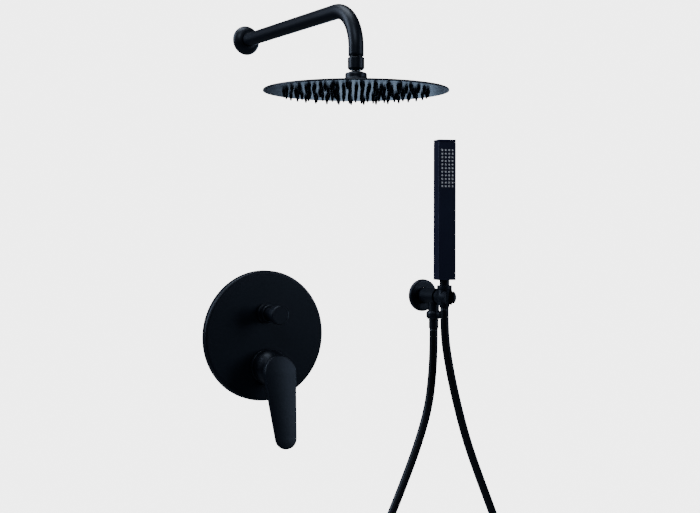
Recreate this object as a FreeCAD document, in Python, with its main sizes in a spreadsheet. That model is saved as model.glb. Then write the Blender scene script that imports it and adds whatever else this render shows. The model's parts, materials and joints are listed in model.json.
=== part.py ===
"""Concealed shower set: wall arm with a round rain head, round in-wall mixer with a pull
diverter, and a wall outlet that feeds and holds a stick hand shower on its hose.

Millimetres, +Z up, the finished wall is the plane Y = 0, the room is on the -Y side and +X is to
the right for someone facing the wall. The origin is the centre of the mixer's cover plate.
"""

import FreeCAD
import Part
import math
import os
from types import SimpleNamespace

import Sketcher

Vector = FreeCAD.Vector
Placement = FreeCAD.Placement
Rotation = FreeCAD.Rotation

# Driving dimensions. Each becomes one cell of the sheet, with its name as the alias.
DIMENSIONS = {
    # rain head arm
    "arm_x": -27.0,
    "arm_axis_z": 453.5,
    "arm_reach": 332.0,
    "arm_bend": 54.0,
    "tube_od": 20.0,
    "tube_bore": 16.0,
    "down_length": 65.0,
    "wall_thread_radius": 10.48,
    "wall_thread_length": 18.0,
    "arm_flange_radius": 22.0,
    "arm_flange_depth": 11.0,
    # ball joint, measured down from the arm's axis
    "neck_radius": 8.4,
    "nut_top": 66.8,
    "nut_radius": 10.75,
    "nut_length": 16.4,
    "nut_bore": 9.0,
    "ball_drop": 78.4,
    "ball_radius": 6.8,
    "ball_gap": 0.1,
    "ball_neck": 3.9,
    "stem_thread": 5.4,
    "ball_waterway": 3.0,
    # head
    "collar_radius": 14.2,
    "collar_top": 84.8,
    "collar_bottom": 99.6,
    "head_radius": 120.0,
    "head_bottom": 110.5,
    "sheet_metal": 1.0,
    "rim_height": 2.4,
    "boss_top": 100.6,
    "face_gap": 0.4,
    "mat_thickness": 1.2,
    "ring_pitch": 15.5,
    "nozzle_radius": 2.4,
    "nozzle_length": 8.0,
    "nozzle_bore": 0.5,
    # mixer
    "plate_radius": 101.0,
    "plate_depth": 12.0,
    "plate_round": 4.0,
    "plate_wall": 2.5,
    "hub_z": -47.0,
    "knob_z": 35.0,
    "hub_ring_radius": 26.5,
    "hub_ring_front": 17.0,
    "pivot_out": 26.0,
    "dome_radius": 24.5,
    "cup_inner": 25.0,
    "cup_outer": 28.0,
    "cup_rim": 3.0,
    "cartridge_radius": 18.2,
    "barrel_bore": 18.5,
    "barrel_radius": 21.0,
    "disc_port": 2.6,
    "stem_radius": 4.0,
    "stem_inner": 13.4,
    "pin_radius": 1.5,
    "running_gap": 0.05,
    "lever_width": 26.0,
    "lever_tip": 17.5,
    "lever_length": 117.0,
    "lever_thickness": 11.0,
    "lever_edge": 3.5,
    "inlet_reach": 56.0,
    "body_thread": 9.4,
    "body_thread_length": 15.0,
    "passage": 5.0,
    "casting_radius": 14.0,
    # diverter
    "knob_ring_radius": 15.5,
    "knob_sleeve_radius": 13.5,
    "knob_neck": 10.5,
    "knob_radius": 14.4,
    "knob_front": 63.0,
    "diverter_bore": 9.0,
    "rod_radius": 3.0,
    "plunger_radius": 6.8,
    "diverter_travel": 7.5,
    "spring_wire": 0.4,
    # outlet, holder and hose
    "outlet_x": 298.0,
    "outlet_z": 53.5,
    "outlet_flange_radius": 27.0,
    "outlet_flange_depth": 7.0,
    "elbow_radius": 13.0,
    "elbow_front": 48.0,
    "spigot_out": 35.0,
    "spigot_neck": 9.2,
    "holder_out": 66.0,
    "holder_radius": 12.5,
    "holder_front": 82.0,
    "slot_width": 15.4,
    "hose_radius": 7.0,
    "union_radius": 12.4,
    "ferrule_radius": 8.0,
    "cone_top": 10.3,
    "cone_bottom": 7.9,
    "cone_head": 12.2,
    "tail_radius": 5.2,
    # hand shower
    "handset_width": 30.0,
    "handset_depth": 26.0,
    "handset_length": 228.0,
    "handset_base": 81.7,
    "handset_wall": 2.0,
    "handset_yaw": 15.0,
    "jet_pitch_x": 5.9,
    "jet_pitch_z": 5.84,
    "jet_side": 3.2,
    "jet_top": 17.4,
}

JETS_IN_RINGS = (6, 12, 18, 24, 30, 34)
JET_COLUMNS = 4
JET_ROWS = 11
REST_TILT = 10.0
LEVER_LEAN = 23.0
NOZZLE_TAPER = -10.0
DISC_PORTS = ((-7.5, -4.5), (7.5, -4.5), (0.0, 8.0))

# Ways a sub-part's own +Z can point in the room
ALONG = {
    "up": Rotation(Vector(1, 0, 0), 0),
    "down": Rotation(Vector(1, 0, 0), 180),
    "out": Rotation(Vector(1, 0, 0), 90),
    "into": Rotation(Vector(1, 0, 0), -90),
    "right": Rotation(Vector(0, 1, 0), 90),
    "left": Rotation(Vector(0, 1, 0), -90),
}


class Size:
    """A length that knows its value and the sheet expression that gives it."""

    def __init__(self, value, text=None):
        self.value = float(value)
        self.text = text or repr(float(value))

    def combine(self, other, sign, value):
        other = size(other)
        return Size(value(self.value, other.value), f"({self.text} {sign} {other.text})")

    def __add__(self, other):
        return self.combine(other, "+", lambda a, b: a + b)

    def __radd__(self, other):
        return size(other) + self

    def __sub__(self, other):
        return self.combine(other, "-", lambda a, b: a - b)

    def __rsub__(self, other):
        return size(other) - self

    def __mul__(self, other):
        return self.combine(other, "*", lambda a, b: a * b)

    def __truediv__(self, other):
        return self.combine(other, "/", lambda a, b: a / b)

    def __neg__(self):
        return size(0.0) - self


def size(value):
    return value if isinstance(value, Size) else Size(value)


doc = FreeCAD.newDocument("shower_set")
sheet = doc.addObject("Spreadsheet::Sheet", "sizes")
for row, (word, number) in enumerate(DIMENSIONS.items(), start=1):
    sheet.set(f"A{row}", word)
    sheet.set(f"B{row}", str(number))
    sheet.setAlias(f"B{row}", word)
doc.recompute()
D = SimpleNamespace(**{word: Size(number, f"sizes.{word}") for word, number in DIMENSIONS.items()})
nodes = []


# ---------------------------------------------------------------- helpers


def bind(item, prop, value):
    """Set a property from a size and keep it bound to the sheet."""
    item.setExpression(prop, size(value).text)


def place(item, at, along="up", turn=None):
    """Stand a sub-part at a point of the room, with its own +Z along the named way."""
    rotation = ALONG[along]
    if turn is not None:
        rotation = turn.multiply(rotation)
    item.Placement = Placement(Vector(*[size(c).value for c in at]), rotation)
    for axis, value in zip("xyz", at):
        bind(item, f"Placement.Base.{axis}", value)


def plane(body, role):
    """One of the body's own origin planes."""
    return next(f for f in body.Origin.OriginFeatures if f.Role == role)


def new_body(name):
    body = doc.addObject("PartDesign::Body", name)
    body.Label = name
    nodes.append(body)
    return body


def new_sketch(body, name, role="XY_Plane", lift=0.0, turn=None):
    """A sketch on one of the body's origin planes, lifted along the plane's normal."""
    sketch = body.newObject("Sketcher::SketchObject", name)
    sketch.AttachmentSupport = (plane(body, role), [""])
    sketch.MapMode = "FlatFace"
    sketch.AttachmentOffset = Placement(Vector(0, 0, size(lift).value), turn or Rotation())
    bind(sketch, "AttachmentOffset.Base.z", lift)
    return sketch


def pin_point(sketch, geometry, end, across, upward):
    """Fix one end of a sketch line at two bound distances from the sketch's origin."""
    for kind, axis, value in (("DistanceX", -2, across), ("DistanceY", -1, upward)):
        value = size(value)
        if abs(value.value) < 1e-9:
            sketch.addConstraint(Sketcher.Constraint("PointOnObject", geometry, end, axis))
        else:
            number = sketch.addConstraint(
                Sketcher.Constraint(kind, -1, 1, geometry, end, value.value)
            )
            bind(sketch, f"Constraints[{number}]", value)


def arc_between(start, end, radius):
    """The short arc from start to end; a positive radius has its centre on the left."""
    chord = end - start
    half = chord.Length / 2
    reach = math.sqrt(max(radius * radius - half * half, 0.0))
    side = Vector(-chord.y, chord.x, 0).normalize() * math.copysign(reach, radius)
    centre = (start + end) / 2 + side
    angles = [math.atan2(p.y - centre.y, p.x - centre.x) for p in (start, end)]
    circle = Part.Circle(centre, Vector(0, 0, 1), abs(radius))
    if radius > 0:
        return Part.ArcOfCircle(circle, angles[0], angles[1]), 1, 2
    return Part.ArcOfCircle(circle, angles[1], angles[0]), 2, 1


def outline(sketch, points):
    """A closed outline. A point is (across, up), or (across, up, radius of the arc to the next)."""
    corners = [Vector(size(p[0]).value, size(p[1]).value, 0) for p in points]
    ends = []
    for index, point in enumerate(points):
        start, end = corners[index], corners[(index + 1) % len(points)]
        if len(point) == 3:
            curve, first, last = arc_between(start, end, size(point[2]).value)
        else:
            curve, first, last = Part.LineSegment(start, end), 1, 2
        sketch.addGeometry(curve, False)
        ends.append((first, last))
    for index, point in enumerate(points):
        after = (index + 1) % len(points)
        sketch.addConstraint(
            Sketcher.Constraint("Coincident", index, ends[index][1], after, ends[after][0])
        )
        pin_point(sketch, index, ends[index][0], point[0], point[1])
        if len(point) == 3:
            radius = size(point[2])
            number = sketch.addConstraint(
                Sketcher.Constraint("Radius", index, abs(radius.value))
            )
            bind(sketch, f"Constraints[{number}]", radius if radius.value > 0 else -radius)


def circles(sketch, centres, radius):
    """Equal circles at the given points; the first carries the bound radius."""
    for index, (across, upward) in enumerate(centres):
        across, upward = size(across), size(upward)
        centre = Vector(across.value, upward.value, 0)
        sketch.addGeometry(Part.Circle(centre, Vector(0, 0, 1), size(radius).value), False)
        if index:
            sketch.addConstraint(Sketcher.Constraint("Equal", 0, index))
        else:
            number = sketch.addConstraint(Sketcher.Constraint("Radius", 0, size(radius).value))
            bind(sketch, f"Constraints[{number}]", radius)
            pin_point(sketch, 0, 3, across, upward)


def turned(name, at, along, points, turn=None):
    """A piece turned on a lathe: its half section, as (radius, height), spun about its own Z."""
    body = new_body(name)
    sketch = new_sketch(body, name + "_section", "XZ_Plane")
    outline(sketch, points)
    spin = body.newObject("PartDesign::Revolution", name + "_turned")
    spin.Profile = sketch
    spin.ReferenceAxis = (sketch, ["V_Axis"])
    spin.Angle = 360.0
    place(body, at, along, turn)
    return body


def washer(name, at, along, inner, outer, height):
    """A plain ring with a square section."""
    return turned(name, at, along, [(inner, 0), (outer, 0), (outer, height), (inner, height)])


def pad(body, name, sketch, height, taper=0.0):
    feature = body.newObject("PartDesign::Pad", name)
    feature.Profile = sketch
    feature.Length = size(height).value
    bind(feature, "Length", height)
    feature.TaperAngle = taper
    body.Tip = feature
    return feature


def pocket(body, name, sketch, depth=None, reverse=False):
    """Cut a sketch out of the body, to a depth or right through both ways."""
    doc.recompute()
    before = body.Shape.Volume
    feature = body.newObject("PartDesign::Pocket", name)
    feature.Profile = sketch
    feature.Reversed = reverse
    if depth is None:
        feature.Type = "ThroughAll"
        feature.Midplane = True
    else:
        feature.Length = size(depth).value
        bind(feature, "Length", depth)
    body.Tip = feature
    doc.recompute()
    if body.Shape.Volume >= before - 1e-6:
        raise RuntimeError(f"{name} cuts nothing")
    return feature


def rectangle(sketch, low_x, low_y, high_x, high_y):
    outline(sketch, [(low_x, low_y), (high_x, low_y), (high_x, high_y), (low_x, high_y)])


def cylinder(name, radius, height, at, along):
    item = doc.addObject("Part::Cylinder", name)
    bind(item, "Radius", radius)
    bind(item, "Height", height)
    place(item, at, along)
    return item


def block(name, length, width, height, at):
    item = doc.addObject("Part::Box", name)
    bind(item, "Length", length)
    bind(item, "Width", width)
    bind(item, "Height", height)
    place(item, at)
    return item


def joined(name, pieces):
    item = doc.addObject("Part::MultiFuse", name)
    item.Shapes = pieces
    item.Refine = True
    return item


def carved(name, base, tools):
    item = doc.addObject("Part::Cut", name)
    item.Base = base
    item.Tool = joined(name + "_hollow", tools)
    item.Refine = True
    item.Label = name
    nodes.append(item)
    return item


# ---------------------------------------------------------------- rain head arm


def below_arm(drop):
    """A point on the down pipe's axis, a drop below the arm's own axis."""
    return (D.arm_x, -D.arm_reach, D.arm_axis_z - drop)


def make_arm():
    wall_point = (D.arm_x, 0.0, D.arm_axis_z)
    bore = D.tube_od / 2 + 0.4
    turned("arm_flange", wall_point, "out", [
        (D.arm_flange_radius - 2, 0),
        (D.arm_flange_radius, 0),
        (D.arm_flange_radius, 2.5, 17.0),
        (bore + 2, D.arm_flange_depth),
        (bore, D.arm_flange_depth),
        (bore, D.arm_flange_depth - 3.5),
        (bore + 2.4, D.arm_flange_depth - 3.5, -15.0),
        (D.arm_flange_radius - 2, 2),
    ])
    washer("arm_flange_seal", (D.arm_x, -5.0, D.arm_axis_z), "out",
           D.tube_od / 2 + 0.05, D.tube_od / 2 + 2.2, 2.2)

    body = new_body("arm_tube")
    path = new_sketch(body, "arm_path", "YZ_Plane")
    start = Vector(-2, 0, 0)
    bend_start = Vector(D.arm_bend.value - D.arm_reach.value, 0, 0)
    bend_end = Vector(-D.arm_reach.value, -D.arm_bend.value, 0)
    foot = Vector(-D.arm_reach.value, -D.down_length.value, 0)
    centre = Vector(bend_start.x, bend_end.y, 0)
    path.addGeometry(Part.LineSegment(start, bend_start), False)
    quarter = Part.Circle(centre, Vector(0, 0, 1), D.arm_bend.value)
    path.addGeometry(Part.ArcOfCircle(quarter, math.pi / 2, math.pi), False)
    path.addGeometry(Part.LineSegment(bend_end, foot), False)
    path.addConstraint(Sketcher.Constraint("Tangent", 0, 2, 1, 1))
    path.addConstraint(Sketcher.Constraint("Tangent", 1, 2, 2, 1))
    pin_point(path, 0, 1, -2.0, 0.0)
    path.addConstraint(Sketcher.Constraint("Horizontal", 0))
    pin_point(path, 2, 2, -D.arm_reach, -D.down_length)
    number = path.addConstraint(Sketcher.Constraint("Radius", 1, D.arm_bend.value))
    bind(path, f"Constraints[{number}]", D.arm_bend)
    section = new_sketch(body, "arm_section", "XZ_Plane", 2.0)
    for radius in (D.tube_od / 2, D.tube_bore / 2):
        index = section.addGeometry(Part.Circle(Vector(), Vector(0, 0, 1), radius.value), False)
        section.addConstraint(Sketcher.Constraint("Coincident", index, 3, -1, 1))
        number = section.addConstraint(Sketcher.Constraint("Radius", index, radius.value))
        bind(section, f"Constraints[{number}]", radius)
    pipe = body.newObject("PartDesign::AdditivePipe", "arm_pipe")
    pipe.Profile = section
    pipe.Spine = path
    place(body, wall_point)

    spigot = D.tube_bore / 2 - 0.05
    turned("arm_inlet_nipple", (D.arm_x, -14.0, D.arm_axis_z), "into", [
        (6.5, 0), (spigot, 0), (spigot, 12), (D.tube_od / 2, 12), (D.tube_od / 2, 14),
        (D.wall_thread_radius, 14), (D.wall_thread_radius, D.wall_thread_length + 13),
        (D.wall_thread_radius - 1, D.wall_thread_length + 14), (6.5, D.wall_thread_length + 14),
    ])
    turned("arm_outlet_nipple", below_arm(D.down_length - 10), "down", [
        (6, 0), (spigot, 0), (spigot, 10), (D.neck_radius, 10), (D.neck_radius, 12.2),
        (D.nut_bore - 0.1, 12.2), (D.nut_bore - 0.1, 17), (6, 17),
    ])


def make_ball_joint():
    seat = D.ball_radius + D.ball_gap
    centre = D.ball_drop - D.nut_top
    turned("swivel_nut", below_arm(D.nut_top), "down", [
        (D.nut_bore, 0), (D.nut_radius - 0.8, 0), (D.nut_radius, 0.8),
        (D.nut_radius, D.nut_length - 2.4), (D.nut_radius - 2.15, D.nut_length),
        (6.4, D.nut_length), (5.6, centre + 4.031, -seat), (seat, centre), (seat, 10),
        (D.nut_bore, 10),
    ])
    liner = D.ball_radius + 0.05
    turned("ball_seat_ring", below_arm(D.ball_drop - 6.4), "down", [
        (4.2, 0), (D.nut_bore - 0.15, 0), (D.nut_bore - 0.15, 4.6), (6.611, 4.6, -liner),
        (4.2, 0.989),
    ])
    turned("swivel_ball", below_arm(D.ball_drop - 4.6), "down", [
        (D.ball_waterway, 0), (5.008, 0, D.ball_radius), (D.ball_radius, 4.6, D.ball_radius),
        (D.ball_neck, 10.17), (D.ball_neck, 12.4), (D.stem_thread, 12.4), (D.stem_thread, 21.5),
        (D.ball_waterway, 21.5),
    ])


def make_head():
    depth = D.collar_bottom - D.collar_top
    bore = D.stem_thread + 0.05
    turned("head_collar", below_arm(D.collar_top), "down", [
        (bore, 0), (8.5, 0, -7.0), (11.6, 1.5), (D.collar_radius - 1.4, 1.8, 1.9),
        (D.collar_radius, 3.6), (D.collar_radius, 7.6), (D.collar_radius + 1.4, 8.4),
        (D.collar_radius + 1.4, depth), (10, depth), (10, depth + 4.9), (7.5, depth + 4.9),
        (7.5, 11.2), (bore, 11.2),
    ])
    washer("collar_gasket", below_arm(D.collar_bottom), "down", 10.1, 14.8, 1.0)
    washer("collar_lock_ring", below_arm(D.boss_top + D.sheet_metal), "down", 10.05, 15.5, 2.5)

    rise = D.head_bottom - D.boss_top
    turned("head_top_plate", below_arm(D.head_bottom), "up", [
        (D.head_radius - D.sheet_metal, 0), (D.head_radius, 0),
        (D.head_radius, D.rim_height - 0.8), (D.head_radius - 0.8, D.rim_height), (20, rise),
        (10.1, rise), (10.1, rise - D.sheet_metal), (20, rise - D.sheet_metal),
        (D.head_radius - D.sheet_metal, D.rim_height - D.sheet_metal + 0.05),
    ])

    centres = []
    for ring, count in enumerate(JETS_IN_RINGS, start=1):
        for index in range(count):
            angle = 2 * math.pi * (index + 0.5 * (ring % 2)) / count
            reach = D.ring_pitch * ring
            centres.append((reach * math.cos(angle), reach * math.sin(angle)))

    face = new_body("head_face_plate")
    sketch = new_sketch(face, "face_disc")
    circles(sketch, [(0.0, 0.0)], D.head_radius - D.sheet_metal - 0.1)
    pad(face, "face_pad", sketch, D.sheet_metal)
    holes = new_sketch(face, "face_holes")
    circles(holes, centres, D.nozzle_radius + 0.1)
    pocket(face, "face_drilled", holes)
    place(face, below_arm(D.head_bottom))

    mat = new_body("nozzle_mat")
    sketch = new_sketch(mat, "mat_disc")
    circles(sketch, [(0.0, 0.0)], D.ring_pitch * len(JETS_IN_RINGS) + 8)
    pad(mat, "mat_pad", sketch, D.mat_thickness)
    jets = new_sketch(mat, "mat_jets")
    circles(jets, centres, D.nozzle_radius)
    cones = pad(mat, "mat_cones", jets, D.nozzle_length + D.sheet_metal, NOZZLE_TAPER)
    cones.Reversed = True
    bores = new_sketch(mat, "mat_bores")
    circles(bores, centres, D.nozzle_bore)
    pocket(mat, "mat_bored", bores)
    place(mat, below_arm(D.head_bottom - D.sheet_metal))


# ---------------------------------------------------------------- mixer


def on_wall(x, out, z):
    """A point of the room, given its distance out from the wall."""
    return (x, -size(out), z)


def make_cover_plate():
    plate = turned("cover_plate", (0.0, 0.0, 0.0), "out", [
        (0.0, D.plate_depth - D.plate_wall),
        (D.plate_radius - D.plate_wall, D.plate_depth - D.plate_wall),
        (D.plate_radius - D.plate_wall, 0), (D.plate_radius, 0),
        (D.plate_radius, D.plate_depth - D.plate_round, D.plate_round),
        (D.plate_radius - D.plate_round, D.plate_depth), (0.0, D.plate_depth),
    ])
    for name, height, radius in (("hub", D.hub_z, D.dome_radius + 0.2),
                                 ("knob", D.knob_z, D.knob_neck + 2.7)):
        sketch = new_sketch(plate, f"plate_{name}_hole")
        circles(sketch, [(0.0, height)], radius)
        pocket(plate, f"plate_{name}_cut", sketch)
    inner = D.plate_radius - D.plate_wall - 0.3
    washer("plate_gasket", (0.0, 0.0, 0.0), "out", inner - 5, inner, 3.0)


def make_valve_body():
    column = D.casting_radius
    solids = [
        cylinder("barrel", 25.0, 42.0, (0.0, 2.0, D.hub_z), "into"),
        cylinder("barrel_neck", D.barrel_radius, 28.0, on_wall(0.0, 25.0, D.hub_z), "into"),
        cylinder("diverter_barrel", column, 42.0, (0.0, 2.0, D.knob_z), "into"),
        cylinder("diverter_neck", D.diverter_bore + 1.4, 12.0, on_wall(0.0, 9.0, D.knob_z), "into"),
        block("web", 24.0, 34.0, D.knob_z - D.hub_z, (-12.0, 10.0, D.hub_z)),
        cylinder("inlets", column, D.inlet_reach * 2, (-D.inlet_reach, 32.0, D.hub_z), "right"),
        cylinder("top_boss", column, 45.0, (0.0, 12.0, D.knob_z), "up"),
        cylinder("bottom_boss", column, 48.0, (0.0, 34.0, D.hub_z), "down"),
    ]
    wide = D.body_thread_length
    top = D.knob_z + 45
    bottom = D.hub_z - 48
    tools = [
        cylinder("barrel_hollow", D.barrel_bore, 26.0, on_wall(0.0, 26.0, D.hub_z), "into"),
        cylinder("hot_thread", D.body_thread, wide, (-D.inlet_reach, 32.0, D.hub_z), "right"),
        cylinder("cold_thread", D.body_thread, wide, (D.inlet_reach, 32.0, D.hub_z), "left"),
        cylinder("hot_way", D.passage, D.inlet_reach - 5, (-D.inlet_reach, 28.0, D.hub_z), "right"),
        cylinder("cold_way", D.passage, D.inlet_reach - 5, (D.inlet_reach, 28.0, D.hub_z), "left"),
        cylinder("diverter_hollow", D.diverter_bore, 37.5, on_wall(0.0, 10.0, D.knob_z), "into"),
        cylinder("seat_hole", 5.2, 3.0, (0.0, 27.5, D.knob_z), "into"),
        cylinder("rear_chamber", D.diverter_bore, 10.0, (0.0, 30.0, D.knob_z), "into"),
        cylinder("top_way", D.passage, 40.0, (0.0, 10.0, D.knob_z), "up"),
        cylinder("top_thread", D.body_thread, wide, (0.0, 12.0, top), "down"),
        cylinder("bottom_way", D.passage - 0.6, D.knob_z - bottom, (0.0, 37.0, D.knob_z), "down"),
        cylinder("bottom_thread", D.body_thread, wide, (0.0, 34.0, bottom), "up"),
        cylinder("mixed_way", 3.6, D.knob_z - D.hub_z - 8, (0.0, 22.0, D.hub_z + 8), "up"),
    ]
    for index, (x, z) in enumerate(DISC_PORTS):
        reach = 22.0 if x == 0 else 26.0
        tools.append(cylinder(f"port_{index}", D.disc_port, reach, (x, 0.0, D.hub_z + z), "into"))
    carved("valve_body", joined("valve_casting", solids), tools)


def make_cartridge():
    base = on_wall(0.0, 1.0, D.hub_z)
    radius = D.cartridge_radius
    housing = turned("cartridge_housing", base, "out", [
        (0.0, 0), (radius, 0), (radius, 20), (14, 20), (14, 27), (9.6, 27), (9.6, 17.2),
        (15.2, 17.2), (15.2, 3.6), (0.0, 3.6),
    ])
    sketch = new_sketch(housing, "housing_ports")
    circles(sketch, DISC_PORTS, D.disc_port)
    pocket(housing, "housing_ported", sketch, 5.0, True)

    seals = new_body("cartridge_base_seals")
    sketch = new_sketch(seals, "seal_rings")
    circles(sketch, DISC_PORTS, D.disc_port + 1.6)
    pad(seals, "seal_pad", sketch, 0.9)
    sketch = new_sketch(seals, "seal_bores")
    circles(sketch, DISC_PORTS, D.disc_port + 0.1)
    pocket(seals, "seal_bored", sketch)
    place(seals, on_wall(0.0, 0.05, D.hub_z), "out")

    fixed = new_body("fixed_ceramic_disc")
    sketch = new_sketch(fixed, "fixed_disc_round")
    circles(sketch, [(0.0, 0.0)], 15.1)
    pad(fixed, "fixed_disc_pad", sketch, 4.0)
    sketch = new_sketch(fixed, "fixed_disc_ports")
    circles(sketch, DISC_PORTS, D.disc_port)
    pocket(fixed, "fixed_disc_ported", sketch)
    place(fixed, on_wall(0.0, 4.6, D.hub_z), "out")

    shift = D.stem_inner * math.sin(math.radians(REST_TILT))
    moving = turned("moving_ceramic_disc", on_wall(0.0, 8.65, D.hub_z + shift), "out", [
        (0.0, 1.6), (6.5, 1.6), (6.5, 0), (11.5, 0), (11.5, 3.6), (0.0, 3.6),
    ])
    sketch = new_sketch(moving, "disc_socket", lift=3.6)
    circles(sketch, [(0.0, 0.0)], 2.9)
    pocket(moving, "disc_socket_cut", sketch, 1.5)

    driver = turned("cartridge_driver", on_wall(0.0, 12.6, D.hub_z), "out", [
        (0.0, 0), (14.8, 0), (14.8, 5.3), (9.3, 5.3), (9.3, 17.5), (0.0, 17.5),
    ])
    slot = new_sketch(driver, "driver_slot")
    rectangle(slot, -(D.stem_radius + 0.2), -8.0, D.stem_radius + 0.2, 8.0)
    pocket(driver, "driver_slotted", slot)
    cross = new_sketch(driver, "driver_pin_hole", "YZ_Plane")
    circles(cross, [(0.0, D.pivot_out - 12.6)], D.pin_radius)
    pocket(driver, "driver_pinned", cross)
    pin_length = 17.4
    cylinder_pin = cylinder("stem_pin", D.pin_radius, pin_length,
                            (-pin_length / 2, -D.pivot_out, D.hub_z), "right")
    cylinder_pin.Label = "stem_pin"
    nodes.append(cylinder_pin)

    tilt = Rotation(Vector(1, 0, 0), REST_TILT)
    pivot = on_wall(0.0, D.pivot_out, D.hub_z)
    stem = new_body("cartridge_stem")
    sketch = new_sketch(stem, "stem_section", "XZ_Plane")
    tip = D.stem_inner + 1.5
    outline(sketch, [
        (0.0, -tip), (2.0, -tip), (2.4, -tip + 1.0), (2.4, -tip + 3.4), (D.stem_radius, -tip + 5),
        (D.stem_radius, 33), (0.0, 33),
    ])
    spin = stem.newObject("PartDesign::Revolution", "stem_turned")
    spin.Profile = sketch
    spin.ReferenceAxis = (sketch, ["V_Axis"])
    spin.Angle = 360.0
    cross = new_sketch(stem, "stem_pin_hole", "YZ_Plane")
    circles(cross, [(0.0, 0.0)], D.pin_radius + D.running_gap)
    pocket(stem, "stem_pinned", cross)
    place(stem, pivot, "out", tilt)

    washer("cartridge_nut", on_wall(0.0, 21.1, D.hub_z), "out",
           14.2, D.barrel_bore - 0.05, 4.0)
    return pivot, tilt


def make_hub_sleeve():
    start = 3.0
    dome = D.dome_radius
    ahead = D.pivot_out - start
    opening = 14.0
    front = ahead + math.sqrt(DIMENSIONS["dome_radius"] ** 2 - opening ** 2)
    inner = dome - 2.8
    inner_front = ahead + math.sqrt((DIMENSIONS["dome_radius"] - 2.8) ** 2 - opening ** 2)
    turned("hub_sleeve", on_wall(0.0, start, D.hub_z), "out", [
        (D.barrel_radius + 0.1, 0), (dome, 0), (dome, D.plate_depth - start),
        (D.hub_ring_radius, D.plate_depth - start),
        (D.hub_ring_radius, D.hub_ring_front - start - 1.2),
        (D.hub_ring_radius - 1.2, D.hub_ring_front - start),
        (dome, D.hub_ring_front - start), (dome, ahead, dome), (opening, front),
        (opening, inner_front, -inner), (inner, ahead), (inner, ahead - 2),
        (D.barrel_radius + 0.1, ahead - 2),
    ])
    washer("hub_sleeve_seal", on_wall(0.0, 7.0, D.hub_z), "out", dome + 0.02, dome + 2.0, 2.0)


def make_lever(pivot, tilt):
    rim = D.cup_rim
    low, high = DIMENSIONS["cup_inner"], DIMENSIONS["cup_outer"]
    edge = DIMENSIONS["cup_rim"]
    cup = turned("lever_handle", pivot, "out", [
        (math.sqrt(low ** 2 - edge ** 2), rim), (math.sqrt(high ** 2 - edge ** 2), rim, D.cup_outer),
        (0.0, D.cup_outer), (0.0, D.cup_inner, -D.cup_inner),
    ], tilt)
    lean = Rotation(Vector(1, 0, 0), -LEVER_LEAN)
    sketch = new_sketch(cup, "lever_outline", "XY_Plane", D.cup_outer - 0.5, lean)
    wide, tip = D.lever_width, D.lever_tip
    tip_z = tip - D.lever_length
    outline(sketch, [
        (-wide, -2.0), (-tip, tip_z, tip), (0.0, -D.lever_length, tip), (tip, tip_z), (wide, -2.0, wide),
        (0.0, wide - 2.0, wide),
    ])
    pad(cup, "lever_paddle", sketch, D.lever_thickness)
    hole = new_sketch(cup, "lever_stem_hole", "XY_Plane", D.cup_inner - 2)
    circles(hole, [(0.0, 0.0)], D.stem_radius + 0.03)
    pocket(cup, "lever_bored", hole, 10.1, True)
    grub = new_sketch(cup, "lever_screw_hole", "YZ_Plane")
    circles(grub, [(0.0, 30.5)], 2.5)
    pocket(cup, "lever_tapped", grub, 40.0, True)


def make_lever_trim():
    along_stem = 30.5
    down = math.radians(REST_TILT)
    out = D.pivot_out + along_stem * math.cos(down)
    height = D.hub_z - along_stem * math.sin(down)
    start = D.stem_radius + 0.05
    turned("lever_set_screw", (start, -out, height), "right", [
        (0.0, 0), (1.6, 0), (2.45, 1.0), (2.45, 9), (1.5, 9), (1.5, 6), (0.0, 6),
    ])
    turned("lever_screw_plug", (start + 11, -out, height), "right", [
        (0.0, 0), (2.45, 0), (2.45, 6), (0.0, 6),
    ])


# ---------------------------------------------------------------- diverter


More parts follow.
